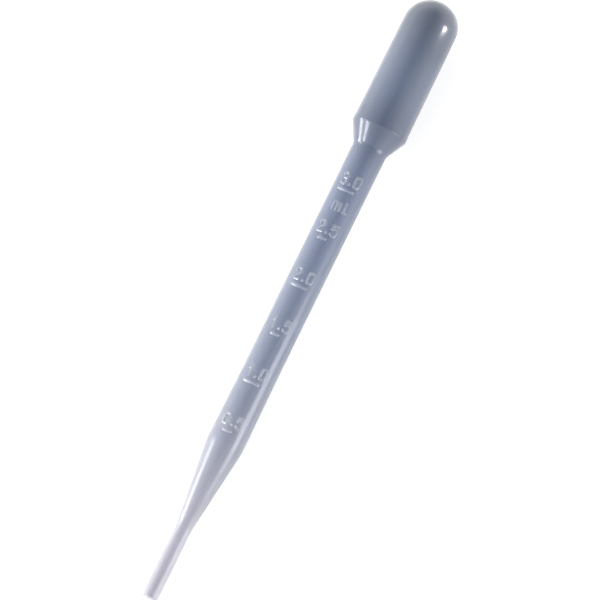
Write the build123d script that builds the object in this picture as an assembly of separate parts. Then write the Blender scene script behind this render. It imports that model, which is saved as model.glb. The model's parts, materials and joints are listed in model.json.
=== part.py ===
from build123d import *
import os
from math import atan2, cos, degrees, floor, pi, radians, sin, tan

# Graduated transfer pipette (a disposable dropper), blow moulded in one piece from natural
# low-density polyethylene: a squeeze bulb with a round crown, a straight stem with moulded
# graduations, and a drawn tip that is open at its end. It is one hollow body with no joints.
#
# Millimetres. The body is turned about the X axis, and stations are counted along that axis
# from the cut end of the tip. At the end it is laid down as it comes to rest on a bench: on
# its side, on the lip of the bulb and the foot of the stem, with the graduations on top.

# Tip: the straight drawn tube that the drops leave
TIP_LENGTH = 18.2
TIP_RADIUS = 1.92
TIP_WALL = 0.85
TIP_EDGE_RADIUS = 0.2

# Taper: the cone between the tip and the foot of the stem
TAPER_LENGTH = 21.2
TAPER_BLEND = 12.0

# Stem: a straight tube that swells a little at its foot, where the taper starts
STEM_LENGTH = 76.9
STEM_RADIUS = 4.22
STEM_WALL = 0.65
FOOT_LENGTH = 19.3
FOOT_SWELL = 0.21
FOOT_BLEND = 10.0

# Shoulder: the cone that opens from the stem to the bulb, with a low lip at its top
SHOULDER_ANGLE = 27.5
SHOULDER_WALL = 0.55
SHOULDER_BLEND = 2.8
LIP_PROUD = 0.08
LIP_WIDTH = 0.9
LIP_BLEND = 0.8

# Bulb: the thin-walled squeeze bulb, from its lip to its round crown
BULB_LENGTH = 33.9
BULB_RADIUS = 6.72
BULB_WALL = 0.45
CROWN_RADIUS = 6.54
CROWN_WALL = 0.52

# Graduations: one rib for each division, long at the whole millilitres
DIVISION_VOLUME = 500.0
DIVISION_COUNT = 6
FIRST_DIVISION_ABOVE_FOOT = 2.7
LAST_DIVISION_BELOW_SHOULDER = 4.0
RIB_WIDTH = 0.9
RIB_HEIGHT = 0.2
RIB_ROOT = 0.3
LONG_RIB_LENGTH = 4.4
SHORT_RIB_LENGTH = 2.5

# Parting line: the fine ridge where the two halves of the mould met
PARTING_HEIGHT = 0.06
PARTING_WIDTH = 0.24

# Radii that follow from the walls
foot_radius = STEM_RADIUS + FOOT_SWELL
lip_radius = BULB_RADIUS + LIP_PROUD
tip_bore = TIP_RADIUS - TIP_WALL
stem_bore = STEM_RADIUS - STEM_WALL
bulb_bore = BULB_RADIUS - BULB_WALL
crown_bore = CROWN_RADIUS - CROWN_WALL


def on_shoulder(radius, wall=0.0):
    """Station where the shoulder's cone, moved in by a wall, reaches a radius."""
    rise = radius + wall / cos(radians(SHOULDER_ANGLE)) - STEM_RADIUS
    return shoulder_foot + rise / tan(radians(SHOULDER_ANGLE))


# Stations that follow from the lengths
taper_top = TIP_LENGTH + TAPER_LENGTH
foot_top = taper_top + FOOT_LENGTH
shoulder_foot = taper_top + STEM_LENGTH
lip_station = on_shoulder(lip_radius)
overall_length = lip_station + BULB_LENGTH
crown_centre = overall_length - CROWN_RADIUS


def closed_outline(points, blends, crown_radius):
    """Face between the axis and an outline that runs into a round crown tangent to its side."""
    side_station, side_radius = points[-1]
    draft = atan2(side_radius - crown_radius, crown_centre - side_station)
    crown_start = (crown_centre + crown_radius * sin(draft), crown_radius * cos(draft))
    crown_middle = (crown_centre + crown_radius * sin(pi / 4), crown_radius * cos(pi / 4))
    crown_end = (crown_centre + crown_radius, 0)
    side = FilletPolyline(*points, crown_start, radius=blends)
    crown = ThreePointArc(crown_start, crown_middle, crown_end)
    return make_face(side + crown + Polyline(crown_end, (0, 0), points[0]))


def outside_face(grown=0.0):
    """Half section of the outside, with its radii grown by an amount."""
    corners = [
        (0, TIP_RADIUS, TIP_EDGE_RADIUS),
        (TIP_LENGTH, TIP_RADIUS, TAPER_BLEND),
        (taper_top, foot_radius, FOOT_BLEND),
        (foot_top, STEM_RADIUS, FOOT_BLEND),
        (shoulder_foot, STEM_RADIUS, SHOULDER_BLEND),
        (lip_station, lip_radius, LIP_BLEND),
        (lip_station + LIP_WIDTH, lip_radius, LIP_BLEND),
        (lip_station + 2 * LIP_WIDTH, BULB_RADIUS, LIP_BLEND),
    ]
    points = [(station, radius + grown) for station, radius, _ in corners]
    blends = [blend for _, _, blend in corners]
    return closed_outline([(0, tip_bore), *points], blends, CROWN_RADIUS + grown)


def inside_face():
    """Half section of the hollow, which follows the outside at each wall's thickness."""
    corners = [
        (TIP_LENGTH, tip_bore, TAPER_BLEND),
        (taper_top, foot_radius - STEM_WALL, FOOT_BLEND),
        (foot_top, stem_bore, FOOT_BLEND),
        (on_shoulder(stem_bore, SHOULDER_WALL), stem_bore, SHOULDER_BLEND),
        (on_shoulder(bulb_bore, SHOULDER_WALL), bulb_bore, LIP_BLEND),
    ]
    points = [(station, radius) for station, radius, _ in corners]
    blends = [blend for _, _, blend in corners]
    return closed_outline([(0, tip_bore), *points], blends, crown_bore)


def turned(section):
    """Solid that a half section makes when it is turned about the axis."""
    return revolve(Plane.XZ * section, axis=Axis.X)


def parting_line():
    """The mould's parting line: a thin slice of a slightly larger body, on both sides."""
    half = outside_face(PARTING_HEIGHT)
    slice_face = half + mirror(half, about=Plane.XZ)
    past_tip = Pos(TIP_LENGTH + overall_length, 0, 0) * Box(
        2 * overall_length, 4 * BULB_RADIUS, 4 * BULB_RADIUS
    )
    return extrude(slice_face, amount=PARTING_WIDTH / 2, both=True) & past_tip


def stem_surface(station):
    """Outer radius of the stem at a station, foot included."""
    above_foot = min(max((station - taper_top) / FOOT_LENGTH, 0), 1)
    return foot_radius + (STEM_RADIUS - foot_radius) * above_foot


def rib(station, length):
    """One graduation: a low rounded ridge round the front of the stem, with domed ends."""
    surface = stem_surface(station)
    edge = station + RIB_WIDTH / 2
    middle = (station, surface + RIB_HEIGHT)
    root = surface - RIB_ROOT
    arc_radius = (RIB_WIDTH**2 / 4 + RIB_HEIGHT**2) / (2 * RIB_HEIGHT)
    half_section = make_face(
        Polyline(middle, (station, root), (edge, root), (edge, surface))
        + RadiusArc((edge, surface), middle, arc_radius)
    )
    section = half_section + mirror(half_section, about=Plane.YZ.offset(station))
    spread = degrees((length - RIB_WIDTH) / surface)
    ridge = Rot(-spread / 2, 0, 0) * revolve(Plane.XZ * section, axis=Axis.X, revolution_arc=spread)
    radial = Axis((station, 0, 0), (0, 0, 1))
    end = revolve(Plane.XZ * half_section, axis=radial, revolution_arc=180)
    return ridge + Rot(-spread / 2, 0, 0) * end + Rot(spread / 2, 0, 0) * mirror(end, about=Plane.XZ)


def graduations():
    """Ribs a division apart, as far up as the straight stem reaches."""
    pitch = DIVISION_VOLUME / (pi * stem_bore**2)
    first = taper_top + FIRST_DIVISION_ABOVE_FOOT
    room = shoulder_foot - LAST_DIVISION_BELOW_SHOULDER - first
    count = min(DIVISION_COUNT, 1 + floor(room / pitch))
    lengths = [SHORT_RIB_LENGTH, LONG_RIB_LENGTH]
    return [rib(first + number * pitch, lengths[number % 2]) for number in range(count)]


def laid_down(body):
    """The body on its side: its lip and its foot touch the bench, and its box is centred."""
    lift = degrees(atan2(lip_radius - foot_radius, lip_station - taper_top))
    resting = Rot(0, -lift, 0) * body
    box = resting.bounding_box()
    return Pos(-box.center().X, -box.center().Y, -box.min.Z) * resting


outside = turned(outside_face()) + parting_line() + graduations()
pipette = laid_down(outside - turned(inside_face()))

os.makedirs("parts", exist_ok=True)
export_step(pipette, "parts/pipette.step")
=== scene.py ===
import json
import logging
from dataclasses import dataclass
from enum import Enum
from math import atan2, cos, degrees, hypot, pi, radians, sin, tan
from typing import Any

import bpy
from mathutils import Matrix, Vector

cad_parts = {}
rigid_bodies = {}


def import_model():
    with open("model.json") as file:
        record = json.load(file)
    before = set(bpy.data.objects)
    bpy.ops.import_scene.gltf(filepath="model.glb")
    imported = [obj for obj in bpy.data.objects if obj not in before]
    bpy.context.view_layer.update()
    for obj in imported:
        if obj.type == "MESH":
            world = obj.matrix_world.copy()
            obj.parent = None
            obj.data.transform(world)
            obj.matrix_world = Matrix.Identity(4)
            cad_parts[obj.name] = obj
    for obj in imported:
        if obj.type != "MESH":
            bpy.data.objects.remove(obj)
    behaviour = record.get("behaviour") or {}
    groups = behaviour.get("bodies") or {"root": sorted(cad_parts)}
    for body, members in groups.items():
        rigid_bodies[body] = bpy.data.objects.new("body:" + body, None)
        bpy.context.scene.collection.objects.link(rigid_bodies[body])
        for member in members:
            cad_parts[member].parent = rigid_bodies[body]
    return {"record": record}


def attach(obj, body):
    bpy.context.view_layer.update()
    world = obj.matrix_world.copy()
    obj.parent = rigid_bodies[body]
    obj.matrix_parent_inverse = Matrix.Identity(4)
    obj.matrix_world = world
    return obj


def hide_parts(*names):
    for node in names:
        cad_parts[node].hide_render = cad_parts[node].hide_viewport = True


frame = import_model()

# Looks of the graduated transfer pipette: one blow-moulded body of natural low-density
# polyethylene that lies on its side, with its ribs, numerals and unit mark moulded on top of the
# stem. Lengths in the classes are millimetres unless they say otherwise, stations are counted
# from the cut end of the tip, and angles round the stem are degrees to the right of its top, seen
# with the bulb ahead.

logging.basicConfig(level=logging.INFO, format="%(message)s")
log = logging.getLogger("pipette")

MM = 0.001

# Metres that count as no distance: TINY between two points of the body, NEAR between two points
# of a stroke and from a point to a plane or a profile.
TINY = 1e-7
NEAR = 1e-6

# The sRGB transfer curve: a straight foot below the knee and a power above it.
SRGB_KNEE = 0.04045
SRGB_SLOPE = 12.92
SRGB_OFFSET = 0.055
SRGB_POWER = 2.4

Ring = tuple[float, float]
Corner = tuple[float, float, float]
Shaded = bpy.types.Material | bpy.types.World


# ---------------------------------------------------------------- small tools


def linear(hex_colour: str) -> tuple[float, float, float, float]:
    """Turns an sRGB hex colour into linear light.

    Args:
        hex_colour: Six hex digits after a hash, such as "#8899AA".

    Returns:
        Red, green, blue and an alpha of 1.
    """
    red, green, blue = (
        part / SRGB_SLOPE if part <= SRGB_KNEE
        else ((part + SRGB_OFFSET) / (1 + SRGB_OFFSET)) ** SRGB_POWER
        for part in (int(hex_colour[i : i + 2], 16) / 255 for i in (1, 3, 5))
    )
    return red, green, blue, 1.0


def deselect() -> None:
    """Leaves nothing selected, in object mode."""
    if bpy.context.mode != "OBJECT":
        bpy.ops.object.mode_set(mode="OBJECT")
    bpy.ops.object.select_all(action="DESELECT")


def pick(obj: bpy.types.Object) -> None:
    """Makes one object the only one selected, and the active one.

    Args:
        obj: The object.
    """
    deselect()
    obj.select_set(True)
    bpy.context.view_layer.objects.active = obj


def apply_modifier(obj: bpy.types.Object, kind: str, **settings: Any) -> None:
    """Adds a modifier to an object and applies it.

    Args:
        obj: The object that is changed.
        kind: Blender's name of the modifier type.
        settings: The modifier's settings by name.
    """
    pick(obj)
    modifier = obj.modifiers.new(kind.lower(), kind)
    for name, value in settings.items():
        setattr(modifier, name, value)
    bpy.ops.object.modifier_apply(modifier=modifier.name)


def rounded(corners: list[Corner], steps: int = 6) -> list[Ring]:
    """Rounds the corners of a profile with tangent arcs.

    Args:
        corners: Station, radius from the axis and blend radius of each corner. A blend of 0
            keeps the corner sharp.
        steps: Spans that each arc is divided into.

    Returns:
        The rounded profile, as stations and radii.
    """
    rings: list[Ring] = []
    for index, (station, radius, blend) in enumerate(corners):
        here = Vector((station, radius))
        if blend == 0 or index in (0, len(corners) - 1):
            rings.append((station, radius))
            continue
        back = (Vector(corners[index - 1][:2]) - here).normalized()
        ahead = (Vector(corners[index + 1][:2]) - here).normalized()
        half = back.angle(ahead) / 2
        centre = here + (back + ahead).normalized() * (blend / sin(half))
        start = here + back * (blend / tan(half)) - centre
        turn = start.angle_signed(here + ahead * (blend / tan(half)) - centre)
        for step in range(steps + 1):
            spoke = start.copy()
            spoke.rotate(Matrix.Rotation(-turn * step / steps, 2))
            rings.append((centre.x + spoke.x, centre.y + spoke.y))
    return rings


def held(rings: list[Ring], near: float = 0.4, long_span: float = 2.4) -> list[Ring]:
    """Adds a ring close to each end of every long span, which keeps its shading straight.

    Args:
        rings: The profile, as stations and radii.
        near: Distance of the new rings from the ends of their span.
        long_span: Length from which a span counts as long.

    Returns:
        The profile with the new rings.
    """
    result = [rings[0]]
    for before, ring in zip(rings, rings[1:]):
        start, end = Vector(before), Vector(ring)
        length = (end - start).length
        if length > long_span:
            for share in (near / length, 1 - near / length):
                result.append(tuple(start.lerp(end, share)))
        result.append(ring)
    return result


def add(material: Shaded, kind: str, settings: dict[str, Any] | None = None,
        **inputs: Any) -> bpy.types.Node:
    """Adds a shader node with its settings, values and links.

    Args:
        material: The material or world whose tree gets the node.
        kind: The node's type, without the leading ShaderNode.
        settings: Properties of the node itself.
        inputs: Values or output sockets by input name, with underscores for spaces, or by the
            input's number after an i.

    Returns:
        The new node.
    """
    tree = material.node_tree
    node = tree.nodes.new("ShaderNode" + kind)
    for name, value in (settings or {}).items():
        setattr(node, name, value)
    for name, value in inputs.items():
        numbered = name[0] == "i" and name[1:].isdigit()
        socket = node.inputs[int(name[1:]) if numbered else name.replace("_", " ")]
        if isinstance(value, bpy.types.NodeSocket):
            tree.links.new(value, socket)
        else:
            socket.default_value = value
    return node


def emptied(material: Shaded) -> Shaded:
    """Gives a new material or world an empty node tree.

    Args:
        material: The material or world.

    Returns:
        The same one.
    """
    material.use_nodes = True
    material.node_tree.nodes.clear()
    return material


def seen_directly(material: Shaded) -> bpy.types.NodeSocket:
    """Adds a switch that is 1 for the camera, for reflections and for light through the wall.

    Args:
        material: The material or world whose tree gets the nodes.

    Returns:
        The switch's output.
    """
    path = add(material, "LightPath")
    switch = path.outputs["Is Camera Ray"]
    for ray in ("Is Glossy Ray", "Is Transmission Ray"):
        switch = add(material, "Math", {"operation": "MAXIMUM"}, i0=switch,
                     i1=path.outputs[ray]).outputs[0]
    return switch


# ---------------------------------------------------------------- place


@dataclass(frozen=True)
class Axis:
    """The pipette's own axis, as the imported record's tip mount gives it.

    Attributes:
        tip_end: Centre of the tip's cut end, in metres.
        along: Direction towards the bulb.
        up: Direction square to the axis, towards the graduations.
    """

    tip_end: Vector
    along: Vector
    up: Vector

    @classmethod
    def of_record(cls, record: dict[str, Any]) -> "Axis":
        """Reads the axis from the record's mount named tip.

        Args:
            record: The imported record.

        Returns:
            The axis.
        """
        mount = next(m for m in record["mounts"] if m["name"] == "tip")
        out = Vector(mount["axis"]).normalized()
        tip_end = Vector(mount["pos_m"]) + out * (mount["dims"]["length_mm"] * MM / 2)
        along = -out
        return cls(tip_end, along, along.cross(Vector((0, 1, 0))).normalized())

    def point(self, station: float, radius: float = 0.0, angle: float = 0.0) -> Vector:
        """Finds a place on the pipette.

        Args:
            station: Millimetres from the tip's end.
            radius: Millimetres from the axis.
            angle: Degrees round the axis, to the right of the top.

        Returns:
            The point in metres, in the CAD frame.
        """
        side = self.along.cross(self.up)
        spoke = cos(radians(angle)) * self.up + sin(radians(angle)) * side
        return self.tip_end + self.along * (station * MM) + spoke * (radius * MM)


# ---------------------------------------------------------------- finishes


@dataclass(frozen=True)
class NaturalPolyethylene:
    """Natural low-density polyethylene, blow moulded.

    The resin has no pigment, so it is a milky see-through grey-blue, paler where the wall is
    thick, as in the drawn tip. The mould is finely blasted, which gives the eye a satin gloss
    with soft reflections and a faint grain, and the milky wall lights up along its rims.

    Attributes:
        name: The material's name.
        tip, taper, foot, stem, shoulder, bulb, crown: Colours along the body, from the thick
        wall of the tip to the thin one of the bulb. The shoulder and the crown, the bulb's
        round end, are darker with painted shade.
        clear: How much of the light goes on through the milky wall.
        ior: The resin's refractive index.
        roughness: Roughness of the satin surface.
        gloss: Strength of the thin smooth skin that the mould leaves.
        gloss_roughness: Roughness of that skin.
        gloss_ior: How strongly that skin mirrors.
        haze: Strength of the milky light along the rims, as sheen.
        haze_width: Roughness of that sheen.
        haze_tint: Its colour.
        grain: Size of the blasted grain, coarser than the real one so that it can show.
        grain_depth: Depth of that grain.
        grain_strength: Share of that depth that the light picks up.
        grain_octaves: Layers of finer grain in it.
        reach: Station up to which the colours run.
    """

    name: str = "natural_ldpe_blow_moulded"
    tip: str = "#E0DFE8"
    taper: str = "#E0E0EA"
    foot: str = "#BEC6D8"
    stem: str = "#ADB9D1"
    # shoulder: painted shade, darker than the stem and the bulb on either side of it
    shoulder: str = "#8994AE"
    bulb: str = "#A3B0C8"
    # crown: painted shade, the bulb's round end darker than the bulb
    crown: str = "#788294"
    clear: float = 0.7
    ior: float = 1.51
    roughness: float = 0.28
    gloss: float = 0.75
    gloss_roughness: float = 0.12
    gloss_ior: float = 1.5
    haze: float = 0.35
    haze_width: float = 0.45
    haze_tint: str = "#DDE4F4"
    grain: float = 0.35
    grain_depth: float = 0.004
    grain_strength: float = 0.05
    grain_octaves: float = 2.0
    reach: float = 155.0

    def stops(self) -> list[tuple[float, str]]:
        """Colours along the body, each with its station."""
        # The shoulder and crown stops are painted shade, darker than the resin round them.
        return [(8, self.tip), (28, self.taper), (52, self.foot), (90, self.stem),
                (112, self.stem), (120, self.shoulder), (129, self.bulb), (140, self.bulb),
                (153, self.crown)]

    def make(self, axis: Axis) -> bpy.types.Material:
        """Makes the node material.

        Args:
            axis: Where the body lies, which the colours follow.

        Returns:
            The material.
        """
        material = emptied(bpy.data.materials.new(self.name))
        place = add(material, "TexCoord")
        apart = add(material, "SeparateXYZ", Vector=place.outputs["Object"])
        along = add(material, "MapRange", {"clamp": True}, Value=apart.outputs["X"],
                    From_Min=axis.point(0).x, From_Max=axis.point(self.reach).x)
        ramp = add(material, "ValToRGB", Fac=along.outputs["Result"])
        elements = ramp.color_ramp.elements
        ready = len(elements)
        ramp.color_ramp.interpolation = "B_SPLINE"
        for number, (station, colour) in enumerate(self.stops()):
            share = station / self.reach
            element = elements[number] if number < ready else elements.new(share)
            element.position = share
            element.color = linear(colour)
        grain = add(material, "TexNoise", Vector=place.outputs["Object"],
                    Scale=1 / (self.grain * MM), Detail=self.grain_octaves)
        bump = add(material, "Bump", Height=grain.outputs["Fac"],
                   Strength=self.grain_strength, Distance=self.grain_depth * MM)
        shader = add(material, "BsdfPrincipled", Base_Color=ramp.outputs["Color"],
                     Roughness=self.roughness, IOR=self.ior,
                     Transmission_Weight=self.clear, Coat_Weight=self.gloss,
                     Coat_Roughness=self.gloss_roughness, Coat_IOR=self.gloss_ior,
                     Sheen_Weight=self.haze, Sheen_Roughness=self.haze_width,
                     Sheen_Tint=linear(self.haze_tint), Normal=bump.outputs["Normal"])
        add(material, "OutputMaterial", Surface=shader.outputs["BSDF"])
        return material


@dataclass(frozen=True)
class MouldedMark(NaturalPolyethylene):
    """The same resin where a numeral or rib stands proud of the stem.

    The wall is thickest there, so the milky plastic is a shade paler; that paler colour is also
    a painted highlight, which keeps the marks light all over like strokes that catch the lamps.
    The polished bottom of the engraving in the mould leaves a smoother, shinier face that
    catches the lamps.
    """

    name: str = "natural_ldpe_moulded_mark"
    # Paler than the body: partly the thicker milky plastic, partly a painted highlight.
    tip: str = "#EAE9F0"
    taper: str = "#E6E6EE"
    foot: str = "#CAD1E0"
    stem: str = "#BBC6DA"
    bulb: str = "#B4C0D6"
    clear: float = 0.65
    gloss: float = 1.0
    gloss_roughness: float = 0.1
    gloss_ior: float = 2.1


# ---------------------------------------------------------------- body


@dataclass
class BlownBody:
    """The hollow body: drawn tip, taper, stem, shoulder, lip, bulb and round crown.

    The sizes are those of the CAD model.

    Attributes:
        axis: Where the body lies.
        tip_length, tip_radius, tip_bore, tip_edge: The drawn tip, and the round of its end edge.
        taper_top, taper_blend: Where the taper above the tip ends, and the blend at its foot.
        foot_radius, foot_top, foot_blend: The stem's swollen foot, which thins towards its top.
        stem_radius, stem_wall: The stem.
        shoulder_foot, shoulder_angle, shoulder_wall, shoulder_blend: The cone below the bulb.
        lip_radius, lip_width, lip_blend: The low lip between shoulder and bulb.
        bulb_radius, bulb_wall, bulb_length: The bulb, its length counted from the lip.
        crown_radius, crown_wall: The bulb's round end.
        seam_height: How far the mould's parting line stands out.
        seam_end: Radius on the crown inside which the line has died out.
        facets: Facets round the body.
    """

    axis: Axis
    tip_length: float = 18.2
    tip_radius: float = 1.92
    tip_bore: float = 1.07
    tip_edge: float = 0.2
    taper_top: float = 39.4
    taper_blend: float = 12.0
    foot_radius: float = 4.43
    foot_top: float = 58.7
    foot_blend: float = 10.0
    stem_radius: float = 4.22
    stem_wall: float = 0.65
    shoulder_foot: float = 116.3
    shoulder_angle: float = 27.5
    shoulder_wall: float = 0.55
    shoulder_blend: float = 2.8
    lip_radius: float = 6.8
    lip_width: float = 0.9
    lip_blend: float = 0.8
    bulb_radius: float = 6.72
    bulb_wall: float = 0.45
    bulb_length: float = 33.9
    crown_radius: float = 6.54
    crown_wall: float = 0.52
    seam_height: float = 0.06
    seam_end: float = 1.0
    facets: int = 128

    def on_shoulder(self, radius: float, wall: float = 0.0) -> float:
        """Finds where the shoulder's cone reaches a radius.

        Args:
            radius: The radius.
            wall: How far the cone is moved in.

        Returns:
            The station.
        """
        slope = radians(self.shoulder_angle)
        return self.shoulder_foot + (radius + wall / cos(slope) - self.stem_radius) / tan(slope)

    @property
    def crown_centre(self) -> float:
        """Station of the round crown's centre."""
        return self.on_shoulder(self.lip_radius) + self.bulb_length - self.crown_radius

    def surface(self, station: float) -> float:
        """Gives the outer radius of the stem at a station, its swollen foot included."""
        share = min(max((station - self.taper_top) / (self.foot_top - self.taper_top), 0), 1)
        return self.foot_radius + (self.stem_radius - self.foot_radius) * share

    def crown(self, side: Corner, radius: float, steps: int = 20) -> list[Ring]:
        """Draws the round crown, tangent to the side of the bulb.

        Args:
            side: Corner where that side starts.
            radius: The crown's radius.
            steps: Spans that it is divided into.

        Returns:
            Its rings, from the side to the top.
        """
        draft = atan2(side[1] - radius, self.crown_centre - side[0])
        turns = [draft + (pi / 2 - draft) * step / steps for step in range(steps)]
        rings = [(self.crown_centre + radius * sin(t), radius * cos(t)) for t in turns]
        return [*rings, (self.crown_centre + radius, 0.0)]

    def outside(self) -> list[Ring]:
        """Draws the outside, from the edge of the bore to the top of the crown.

        Returns:
            Its rings.
        """
        lip = self.on_shoulder(self.lip_radius)
        side = (lip + 2 * self.lip_width, self.bulb_radius, self.lip_blend)
        crown = self.crown(side, self.crown_radius)
        corners = [
            (0, self.tip_bore, 0),
            (0, self.tip_radius, self.tip_edge),
            (self.tip_length, self.tip_radius, self.taper_blend),
            (self.taper_top, self.foot_radius, self.foot_blend),
            (self.foot_top, self.stem_radius, self.foot_blend),
            (self.shoulder_foot, self.stem_radius, self.shoulder_blend),
            (lip, self.lip_radius, self.lip_blend),
            (lip + self.lip_width, self.lip_radius, self.lip_blend),
            side,
            (*crown[0], 0),
        ]
        return held(rounded(corners) + crown[1:])

    def inside(self) -> list[Ring]:
        """Draws the hollow, from the edge of the bore to the top of the crown.

        Returns:
            Its rings.
        """
        stem = self.stem_radius - self.stem_wall
        bulb = self.bulb_radius - self.bulb_wall
        side = (self.on_shoulder(bulb, self.shoulder_wall), bulb, self.lip_blend)
        crown = self.crown(side, self.crown_radius - self.crown_wall)
        corners = [
            (0, self.tip_bore, 0),
            (self.tip_length, self.tip_bore, self.taper_blend),
            (self.taper_top, self.foot_radius - self.stem_wall, self.foot_blend),
            (self.foot_top, stem, self.foot_blend),
            (self.on_shoulder(stem, self.shoulder_wall), stem, self.shoulder_blend),
            side,
            (*crown[0], 0),
        ]
        return held(rounded(corners) + crown[1:])

    def build(self) -> bpy.types.Object:
        """Draws the body out ring by ring, from the hollow's crown round the tip to the outside.

        Returns:
            The closed shell. Its mesh is in the CAD frame and its object isn't moved.
        """
        path = list(reversed(self.inside())) + self.outside()[1:]
        deselect()
        tilt = self.axis.along.angle(Vector((0, 0, 1)))
        bpy.ops.mesh.primitive_circle_add(
            vertices=self.facets, radius=path[1][1] * MM, fill_type="NOTHING",
            location=self.axis.point(path[1][0]), rotation=(0, tilt, 0))
        obj = bpy.context.object
        obj.name = obj.data.name = "blown_body"
        bpy.ops.object.transform_apply(location=True, rotation=True, scale=True)
        bpy.ops.object.mode_set(mode="EDIT")
        bpy.ops.mesh.select_all(action="SELECT")
        self.close_pole(path[0], path[1])
        self.select_ring(obj, path[1])
        for before, ring in zip(path[1:], path[2:-1]):
            self.next_ring(before, ring)
        self.close_pole(path[-1], path[-2])
        bpy.ops.mesh.select_all(action="SELECT")
        bpy.ops.mesh.remove_doubles(threshold=TINY)
        bpy.ops.mesh.normals_make_consistent(inside=False)
        bpy.ops.mesh.select_all(action="DESELECT")
        bpy.ops.object.mode_set(mode="OBJECT")
        self.raise_seam(obj)
        return obj

    def next_ring(self, before: Ring, ring: Ring) -> None:
        """Extrudes the selected ring to the next one of the profile.

        Args:
            before: The selected ring.
            ring: The next one.
        """
        step = self.axis.along * ((ring[0] - before[0]) * MM)
        bpy.ops.mesh.extrude_region_move(TRANSFORM_OT_translate={"value": step})
        share = ring[1] / before[1]
        bpy.ops.transform.resize(value=(share, share, share),
                                 center_override=self.axis.point(ring[0]))

    def close_pole(self, pole: Ring, ring: Ring) -> None:
        """Extrudes the selected ring to the axis and closes it there.

        Args:
            pole: Where on the axis.
            ring: The selected ring.
        """
        step = self.axis.along * ((pole[0] - ring[0]) * MM)
        bpy.ops.mesh.extrude_region_move(TRANSFORM_OT_translate={"value": step})
        bpy.ops.mesh.merge(type="CENTER")

    def select_ring(self, obj: bpy.types.Object, ring: Ring) -> None:
        """Selects the vertices of one ring and the edges between them.

        Args:
            obj: The body, in edit mode.
            ring: The ring.
        """
        bpy.ops.mesh.select_mode(type="VERT")
        bpy.ops.mesh.select_all(action="DESELECT")
        bpy.ops.object.mode_set(mode="OBJECT")
        centre = self.axis.point(ring[0])
        for vertex in obj.data.vertices:
            vertex.select = abs((vertex.co - centre).length - ring[1] * MM) < TINY
        bpy.ops.object.mode_set(mode="EDIT")

    def raise_seam(self, obj: bpy.types.Object) -> None:
        """Raises the mould's parting line, a fine ridge on both sides of the body.

        Args:
            obj: The body, in object mode with nothing selected in its mesh.
        """
        side = self.axis.along.cross(self.axis.up)
        outer = self.outside()
        for vertex in obj.data.vertices:
            arm = vertex.co - self.axis.tip_end
            if abs(arm.dot(self.axis.up)) > NEAR:
                continue
            station, radius = arm.dot(self.axis.along) / MM, abs(arm.dot(side)) / MM
            off = min(hypot(ring[0] - station, ring[1] - radius) for ring in outer)
            past_tip, below_top = station > self.tip_length, radius > self.seam_end
            vertex.select = off < NEAR / MM and past_tip and below_top
        bpy.ops.object.mode_set(mode="EDIT")
        bpy.ops.mesh.select_mode(type="VERT")
        bpy.ops.transform.shrink_fatten(value=self.seam_height * MM)
        bpy.ops.mesh.select_all(action="DESELECT")
        bpy.ops.object.mode_set(mode="OBJECT")


# ---------------------------------------------------------------- marks


class Glyph(Enum):
    """Plain one-line numerals and letters, as strokes of (across, up) control points."""

    ZERO = (((0.5, 1.0), (1.0, 1.0), (1.0, 0.5), (1.0, 0.0), (0.5, 0.0), (0.0, 0.0), (0.0, 0.5),
             (0.0, 1.0), (0.5, 1.0)),)
    ONE = (((0.18, 0.72), (0.6, 1.0)), ((0.6, 1.0), (0.6, 0.0)))
    TWO = (((0.0, 0.8), (0.1, 1.05), (1.0, 1.1), (1.0, 0.55), (0.2, 0.3), (0.0, 0.0)),
           ((0.0, 0.0), (1.0, 0.0)))
    THREE = (((0.0, 0.92), (0.3, 1.08), (1.05, 1.05), (1.0, 0.54), (0.4, 0.54)),
             ((0.4, 0.54), (1.1, 0.56), (1.1, -0.05), (0.3, -0.08), (0.0, 0.1)))
    FIVE = (((1.0, 1.0), (0.15, 1.0)), ((0.15, 1.0), (0.08, 0.56)),
            ((0.08, 0.56), (0.5, 0.72), (1.1, 0.66), (1.1, -0.05), (0.3, -0.08), (0.0, 0.1)))
    POINT = (((0.5, 0.02), (0.5, 0.08)),)
    SMALL_M = (((0.0, 0.0), (0.0, 0.72)),
               ((0.0, 0.4), (0.05, 0.74), (0.5, 0.8), (0.5, 0.45), (0.5, 0.0)),
               ((0.5, 0.4), (0.55, 0.74), (1.0, 0.8), (1.0, 0.45), (1.0, 0.0)))
    CAPITAL_L = (((0.0, 1.0), (0.0, 0.0)), ((0.0, 0.0), (0.8, 0.0)))


DIGITS = {"0": Glyph.ZERO, "1": Glyph.ONE, "2": Glyph.TWO, "3": Glyph.THREE, "5": Glyph.FIVE}

# The round end of a stroke, from its outermost point in: how far each point is out, and how thick
# the stroke is there, as shares of its radius.
ROUND_END = ((1.0, 0.02), (0.85, 0.6), (0.3, 0.95))


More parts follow.
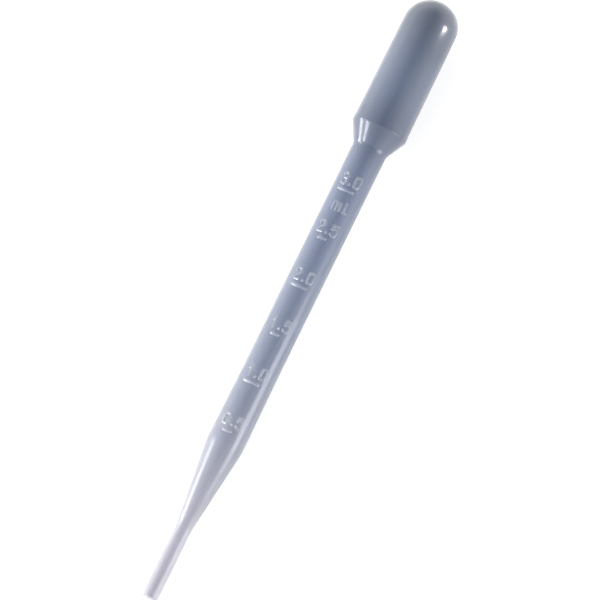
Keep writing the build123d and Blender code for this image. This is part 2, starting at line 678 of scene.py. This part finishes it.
@dataclass
class Graduations:
    """Ribs and numerals that the mould leaves proud on the top of the stem.

    Attributes:
        body: The body that carries them.
        first: Station of the lowest rib.
        pitch: Distance between ribs, one step of the stem's hollow.
        step: Millilitres between ribs.
        count: Number of ribs.
        rib_stroke, rib_proud: A rib's radius, and how far it stands out.
        rib_spans: Spans that a rib is divided into.
        long_rib, short_rib: Lengths of the ribs at whole and at half millilitres.
        numeral_height, numeral_gap: A numeral's height, and its distance above its rib.
        numeral_stroke, numeral_proud: Radius of its strokes, and how far they stand out.
        left_digit, point, right_digit: Angles between which each part of a numeral stands.
        side_gap: Share of those angles that is left free on each side.
        unit_height, unit_below: The unit mark's height, and how far below the top rib it is.
        unit_m, unit_l: Angles between which its two letters stand.
    """

    body: BlownBody
    first: float = 42.1
    pitch: float = 12.4877
    step: float = 0.5
    count: int = 6
    rib_stroke: float = 0.45
    rib_proud: float = 0.2
    rib_spans: int = 10
    long_rib: float = 4.4
    short_rib: float = 2.5
    numeral_height: float = 3.2
    numeral_gap: float = 1.05
    numeral_stroke: float = 0.38
    numeral_proud: float = 0.2
    left_digit: tuple[float, float] = (-30.0, -6.0)
    right_digit: tuple[float, float] = (15.0, 38.0)
    point: tuple[float, float] = (0.0, 9.0)
    side_gap: float = 0.15
    unit_height: float = 3.0
    unit_below: float = 4.0
    unit_m: tuple[float, float] = (-18.0, 15.0)
    unit_l: tuple[float, float] = (22.0, 40.0)

    def stroke(self, points: list[Vector], thickness: float) -> bpy.types.Object:
        """Draws one raised line with round ends.

        Args:
            points: Control points of its middle line, in metres.
            thickness: Radius of the line, in millimetres.

        Returns:
            The line as a closed mesh.
        """
        curve = bpy.data.curves.new("stroke", "CURVE")
        curve.dimensions = "3D"
        curve.bevel_depth = thickness * MM
        curve.bevel_resolution = 5
        curve.resolution_u = 6
        curve.use_fill_caps = False
        spline = curve.splines.new("NURBS")
        closed = (points[0] - points[-1]).length < NEAR
        if closed:
            points = points[:-1]
            radii = [1.0] * len(points)
        else:
            start_arm = (points[0] - points[1]).normalized() * (thickness * MM)
            end_arm = (points[-1] - points[-2]).normalized() * (thickness * MM)
            thin = [radius for _, radius in ROUND_END]
            radii = [*thin, *[1.0] * len(points), *reversed(thin)]
            points = [*(points[0] + start_arm * out for out, _ in ROUND_END), *points,
                      *(points[-1] + end_arm * out for out, _ in reversed(ROUND_END))]
        spline.points.add(len(points) - 1)
        for point, place, radius in zip(spline.points, points, radii):
            point.co = (*place, 1.0)
            point.radius = radius
        spline.order_u = 3
        spline.use_cyclic_u = closed
        spline.use_endpoint_u = not closed
        obj = bpy.data.objects.new("stroke", curve)
        bpy.context.scene.collection.objects.link(obj)
        pick(obj)
        bpy.ops.object.convert(target="MESH")
        obj = bpy.context.object
        bpy.ops.object.mode_set(mode="EDIT")
        bpy.ops.mesh.select_all(action="SELECT")
        bpy.ops.mesh.remove_doubles(threshold=NEAR)
        bpy.ops.mesh.select_all(action="DESELECT")
        bpy.ops.mesh.select_non_manifold()
        bpy.ops.mesh.fill_holes(sides=0)
        bpy.ops.mesh.select_all(action="SELECT")
        bpy.ops.mesh.normals_make_consistent(inside=False)
        bpy.ops.object.mode_set(mode="OBJECT")
        return obj

    def rib(self, station: float, length: float) -> list[bpy.types.Object]:
        """Draws a graduation rib round the top of the stem.

        Args:
            station: Its station.
            length: Its length round the stem.

        Returns:
            Its one stroke.
        """
        radius = self.body.surface(station) + self.rib_proud - self.rib_stroke
        half = degrees((length / 2 - self.rib_stroke) / radius)
        angles = [-half + half * 2 * place / self.rib_spans for place in range(self.rib_spans + 1)]
        line = [self.body.axis.point(station, radius, angle) for angle in angles]
        return [self.stroke(line, self.rib_stroke)]

    def glyph(self, glyph: Glyph, station: float, height: float,
              span: tuple[float, float]) -> list[bpy.types.Object]:
        """Draws one numeral or letter on the stem.

        Args:
            glyph: Which one.
            station: Station of its foot.
            height: Its height along the stem.
            span: Angles of its left and right side.

        Returns:
            Its strokes.
        """
        inset = self.numeral_stroke
        broad = 1 - 2 * self.side_gap
        strokes = []
        for line in glyph.value:
            points = []
            for across, up in line:
                place = station + inset + up * (height - 2 * inset)
                radius = self.body.surface(place) + self.numeral_proud - self.numeral_stroke
                angle = span[0] + (span[1] - span[0]) * (self.side_gap + broad * across)
                points.append(self.body.axis.point(place, radius, angle))
            strokes.append(self.stroke(points, self.numeral_stroke))
        return strokes

    def build(self) -> list[bpy.types.Object]:
        """Makes every rib and numeral, and the unit mark.

        Returns:
            All their strokes.
        """
        marks: list[bpy.types.Object] = []
        for number in range(self.count):
            station = self.first + number * self.pitch
            marks += self.rib(station, self.long_rib if number % 2 else self.short_rib)
            whole, tenths = f"{self.step * (number + 1):.1f}".split(".")
            foot = station + self.numeral_gap
            for glyph, span in ((DIGITS[whole], self.left_digit),
                                (DIGITS[tenths], self.right_digit), (Glyph.POINT, self.point)):
                marks += self.glyph(glyph, foot, self.numeral_height, span)
            log.info("graduation %s.%s mL at %.1f mm from the tip", whole, tenths, station)
        top = self.first + (self.count - 1) * self.pitch
        foot = top - self.unit_below - self.unit_height / 2
        marks += self.glyph(Glyph.SMALL_M, foot, self.unit_height, self.unit_m)
        marks += self.glyph(Glyph.CAPITAL_L, foot, self.unit_height, self.unit_l)
        return marks


@dataclass
class Pipette:
    """The whole part: the blown body and its moulded marks, in one closed mesh.

    Attributes:
        axis: Where it lies.
        crease: Degrees between two faces from which the edge between them is crisp.
    """

    axis: Axis
    crease: float = 35.0

    def build(self) -> bpy.types.Object:
        """Joins the marks to the body, dresses both and hands the piece to the frame.

        Returns:
            The finished piece.
        """
        body = BlownBody(self.axis)
        piece = body.build()
        piece.name = piece.data.name = "pipette_body"
        marks = Graduations(body).build()
        materials = [NaturalPolyethylene().make(self.axis), MouldedMark().make(self.axis)]
        for obj in (piece, *marks):
            for material in materials:
                obj.data.materials.append(material)
        group = bpy.data.collections.new("marks")
        bpy.context.scene.collection.children.link(group)
        for obj in marks:
            for face in obj.data.polygons:
                face.material_index = len(materials) - 1
            group.objects.link(obj)
            bpy.context.scene.collection.objects.unlink(obj)
        apply_modifier(piece, "BOOLEAN", operation="UNION", solver="MANIFOLD",
                       operand_type="COLLECTION", collection=group)
        for obj in list(group.objects):
            bpy.data.objects.remove(obj)
        bpy.data.collections.remove(group)
        self.crease_marks(piece)
        bpy.ops.object.shade_smooth_by_angle(angle=radians(self.crease))
        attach(piece, "root")
        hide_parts("pipette")
        log.info("%s: %d faces", piece.name, len(piece.data.polygons))
        return piece

    def crease_marks(self, piece: bpy.types.Object) -> None:
        """Keeps a crisp edge where the marks rise, so that the stem's own shading stays even.

        Args:
            piece: The joined mesh, whose marks are in a material of their own.
        """
        pick(piece)
        kinds: dict[tuple[int, int], set[int]] = {}
        for face in piece.data.polygons:
            for key in face.edge_keys:
                kinds.setdefault(key, set()).add(face.material_index)
        for edge in piece.data.edges:
            edge.use_edge_sharp = len(kinds[edge.key]) > 1


# ---------------------------------------------------------------- studio


@dataclass(frozen=True)
class Softbox:
    """A rectangular lamp that points at the pipette.

    Attributes:
        name: The lamp's name.
        bearing: Degrees round from the bulb's end, through the left side.
        height: Degrees above the floor.
        distance: Metres from the pipette.
        width, depth: Its level and upright sides, in metres.
        level: Its brightness, where a white wall in plain light is 1.
        colour: Its colour, as a hex value.
        spread: Degrees across its beam.
        station: Where on the pipette it points, in millimetres from the tip's end.
    """

    name: str
    bearing: float
    height: float
    distance: float
    width: float
    depth: float
    level: float
    colour: str = "#FFFFFF"
    spread: float = 180.0
    station: float = 80.0

    def build(self, axis: Axis) -> None:
        """Hangs the lamp.

        Args:
            axis: The pipette's axis, which it points at.
        """
        target = axis.point(self.station)
        bearing, height = radians(self.bearing), radians(self.height)
        arm = Vector((cos(height) * cos(bearing), cos(height) * sin(bearing), sin(height)))
        data = bpy.data.lights.new(self.name, "AREA")
        data.shape = "RECTANGLE"
        data.size, data.size_y = self.width, self.depth
        data.spread = radians(self.spread)
        data.energy = self.level * pi * self.width * self.depth
        data.color = linear(self.colour)[:3]
        lamp = bpy.data.objects.new(self.name, data)
        lamp.location = target + arm * self.distance
        lamp.rotation_euler = (-arm).to_track_quat("-Z", "Y").to_euler()
        lamp.visible_camera = False
        bpy.context.scene.collection.objects.link(lamp)


@dataclass
class Studio:
    """Pale floor, lit tent, lamps and the camera.

    Attributes:
        axis: Where the pipette lies.
        lens, sensor: The camera's focal length and the width of its sensor.
        far_clip: Metres from the camera to where its view ends.
        view_width: Width that the view takes in at the pipette.
        aim_station, aim_right: Station that the view is centred on, and how far to the right of
            the axis its centre is.
        lean: Degrees that the pipette leans to the right in the view.
        tilt: Degrees that the camera stands back from upright, towards the tip.
        turn: Degrees that it stands to the right of the pipette's top.
        floor_radius: Metres from the middle to the rim of the floor, and to the tent.
        floor_colour: The board's colour.
        floor_glow: Light that the board adds where it is seen directly, where white is 1.
        dark_way: Way to the middle of the tent's dark roof.
        dark_reach: Share at which lengths along the pipette count, which stretches the roof.
        room_level: The tent's light away from its roof, where white is 1.
        fall_off: Power by which the light falls off towards the middle of the roof.
        lamps: The lamps.
    """

    axis: Axis
    lens: float = 300.0
    sensor: float = 36.0
    far_clip: float = 20.0
    view_width: float = 138.73473917869
    aim_station: float = 77.36
    aim_right: float = 0.83
    lean: float = 26.18
    tilt: float = 10.6
    turn: float = 14.0
    floor_radius: float = 3.0
    floor_colour: str = "#D9D9D9"
    floor_glow: float = 0.65
    dark_way: tuple[float, float, float] = (0.05, -0.18, 0.98)
    dark_reach: float = 0.25
    room_level: float = 1.78
    fall_off: float = 0.5
    lamps: tuple[Softbox, ...] = (
        Softbox("left_low", 110, 6, 0.9, 0.3, 0.2, 8.5),
        Softbox("left_high", 131, 29, 0.9, 0.24, 0.14, 10),
        Softbox("left_mid", 100, 20, 0.9, 0.12, 0.5, 6),
        Softbox("tip_low", 148, 10, 0.9, 0.4, 0.2, 8),
        Softbox("crown_spot", -77, 18, 0.026, 0.005, 0.011, 1.1, "#FFF4F0", 34, 149.4),
        Softbox("right_low", -90, 14, 0.25, 0.1, 0.13, 3.2, station=60),
    )

    def camera(self) -> None:
        """Puts a long-lens camera above the pipette, with the bulb up and to the right."""
        tilt, turn, lean = radians(self.tilt), radians(self.turn), radians(self.lean)
        back = Vector((-sin(tilt), -sin(turn) * cos(tilt), cos(turn) * cos(tilt)))
        ahead = (self.axis.along - back * self.axis.along.dot(back)).normalized()
        left = back.cross(ahead)
        up = ahead * cos(lean) + left * sin(lean)
        right = ahead * sin(lean) - left * cos(lean)
        distance = self.view_width * self.lens / self.sensor * MM
        target = self.axis.point(self.aim_station) - left * (self.aim_right * MM)
        data = bpy.data.cameras.new("camera")
        data.lens = self.lens
        data.sensor_width = self.sensor
        data.clip_end = self.far_clip
        camera = bpy.data.objects.new("camera", data)
        camera.matrix_world = Matrix((right, up, back)).transposed().to_4x4()
        camera.location = target + back * distance
        bpy.context.scene.collection.objects.link(camera)
        bpy.context.scene.camera = camera

    def floor(self) -> None:
        """Lays a pale round floor that keeps the shadow and is see-through from below."""
        deselect()
        bpy.ops.mesh.primitive_circle_add(vertices=96, radius=self.floor_radius,
                                          fill_type="NGON", location=(0, 0, 0))
        obj = bpy.context.object
        obj.name = obj.data.name = "floor"
        material = emptied(bpy.data.materials.new("matt_white_board"))
        glow = add(material, "Math", {"operation": "MULTIPLY"}, i0=seen_directly(material),
                   i1=self.floor_glow)
        board = add(material, "BsdfDiffuse", Color=linear(self.floor_colour))
        light = add(material, "Emission", Strength=glow.outputs[0])
        top = add(material, "AddShader", i0=board.outputs[0], i1=light.outputs[0])
        under = add(material, "BsdfTransparent")
        side = add(material, "NewGeometry")
        mix = add(material, "MixShader", i0=side.outputs["Backfacing"], i1=top.outputs[0],
                  i2=under.outputs[0])
        add(material, "OutputMaterial", Surface=mix.outputs[0])
        obj.data.materials.append(material)

    def world(self) -> None:
        """Sets a plain white world, for the camera, reflections and light through the wall."""
        world = emptied(bpy.data.worlds.new("studio"))
        bpy.context.scene.world = world
        world.cycles.sampling_method = "NONE"
        back = add(world, "Background", Strength=seen_directly(world))
        add(world, "OutputWorld", Surface=back.outputs[0])

    def tent(self) -> None:
        """Puts a cloth tent round the set, bright low down and dark overhead.

        Its dark roof gives a satin tube the darker band along its top. The camera and the
        light through the milky wall go past it, to the white world.
        """
        deselect()
        bpy.ops.mesh.primitive_uv_sphere_add(segments=64, ring_count=32, radius=self.floor_radius,
                                             location=(0, 0, 0))
        obj = bpy.context.object
        obj.name = obj.data.name = "tent"
        obj.visible_camera = obj.visible_transmission = False
        material = emptied(bpy.data.materials.new("lit_tent_cloth"))
        material.cycles.emission_sampling = "NONE"
        place = add(material, "TexCoord")
        squeezed = add(material, "VectorMath", {"operation": "MULTIPLY"},
                       i0=place.outputs["Object"], i1=Vector((self.dark_reach, 1, 1)))
        way = add(material, "VectorMath", {"operation": "NORMALIZE"},
                  i0=squeezed.outputs["Vector"])
        toward = add(material, "VectorMath", {"operation": "DOT_PRODUCT"},
                     i0=way.outputs["Vector"], i1=Vector(self.dark_way).normalized())
        away = add(material, "Math", {"operation": "SUBTRACT", "use_clamp": True}, i0=1.0,
                   i1=toward.outputs["Value"])
        soft = add(material, "Math", {"operation": "POWER"}, i0=away.outputs[0],
                   i1=self.fall_off)
        room = add(material, "Math", {"operation": "MULTIPLY"}, i0=soft.outputs[0],
                   i1=self.room_level)
        light = add(material, "Emission", Strength=room.outputs[0])
        add(material, "OutputMaterial", Surface=light.outputs[0])
        obj.data.materials.append(material)

    def build(self) -> None:
        """Builds the studio round the pipette."""
        bpy.context.scene.view_settings.view_transform = "Standard"
        self.camera()
        self.floor()
        self.world()
        self.tent()
        for lamp in self.lamps:
            lamp.build(self.axis)
        log.info("studio: floor, world, tent, camera and %d lamps", len(self.lamps))


def main() -> None:
    """Builds the pipette and its studio."""
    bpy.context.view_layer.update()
    axis = Axis.of_record(frame["record"])
    Studio(axis).build()
    Pipette(axis).build()


if __name__ == "__main__":
    main()
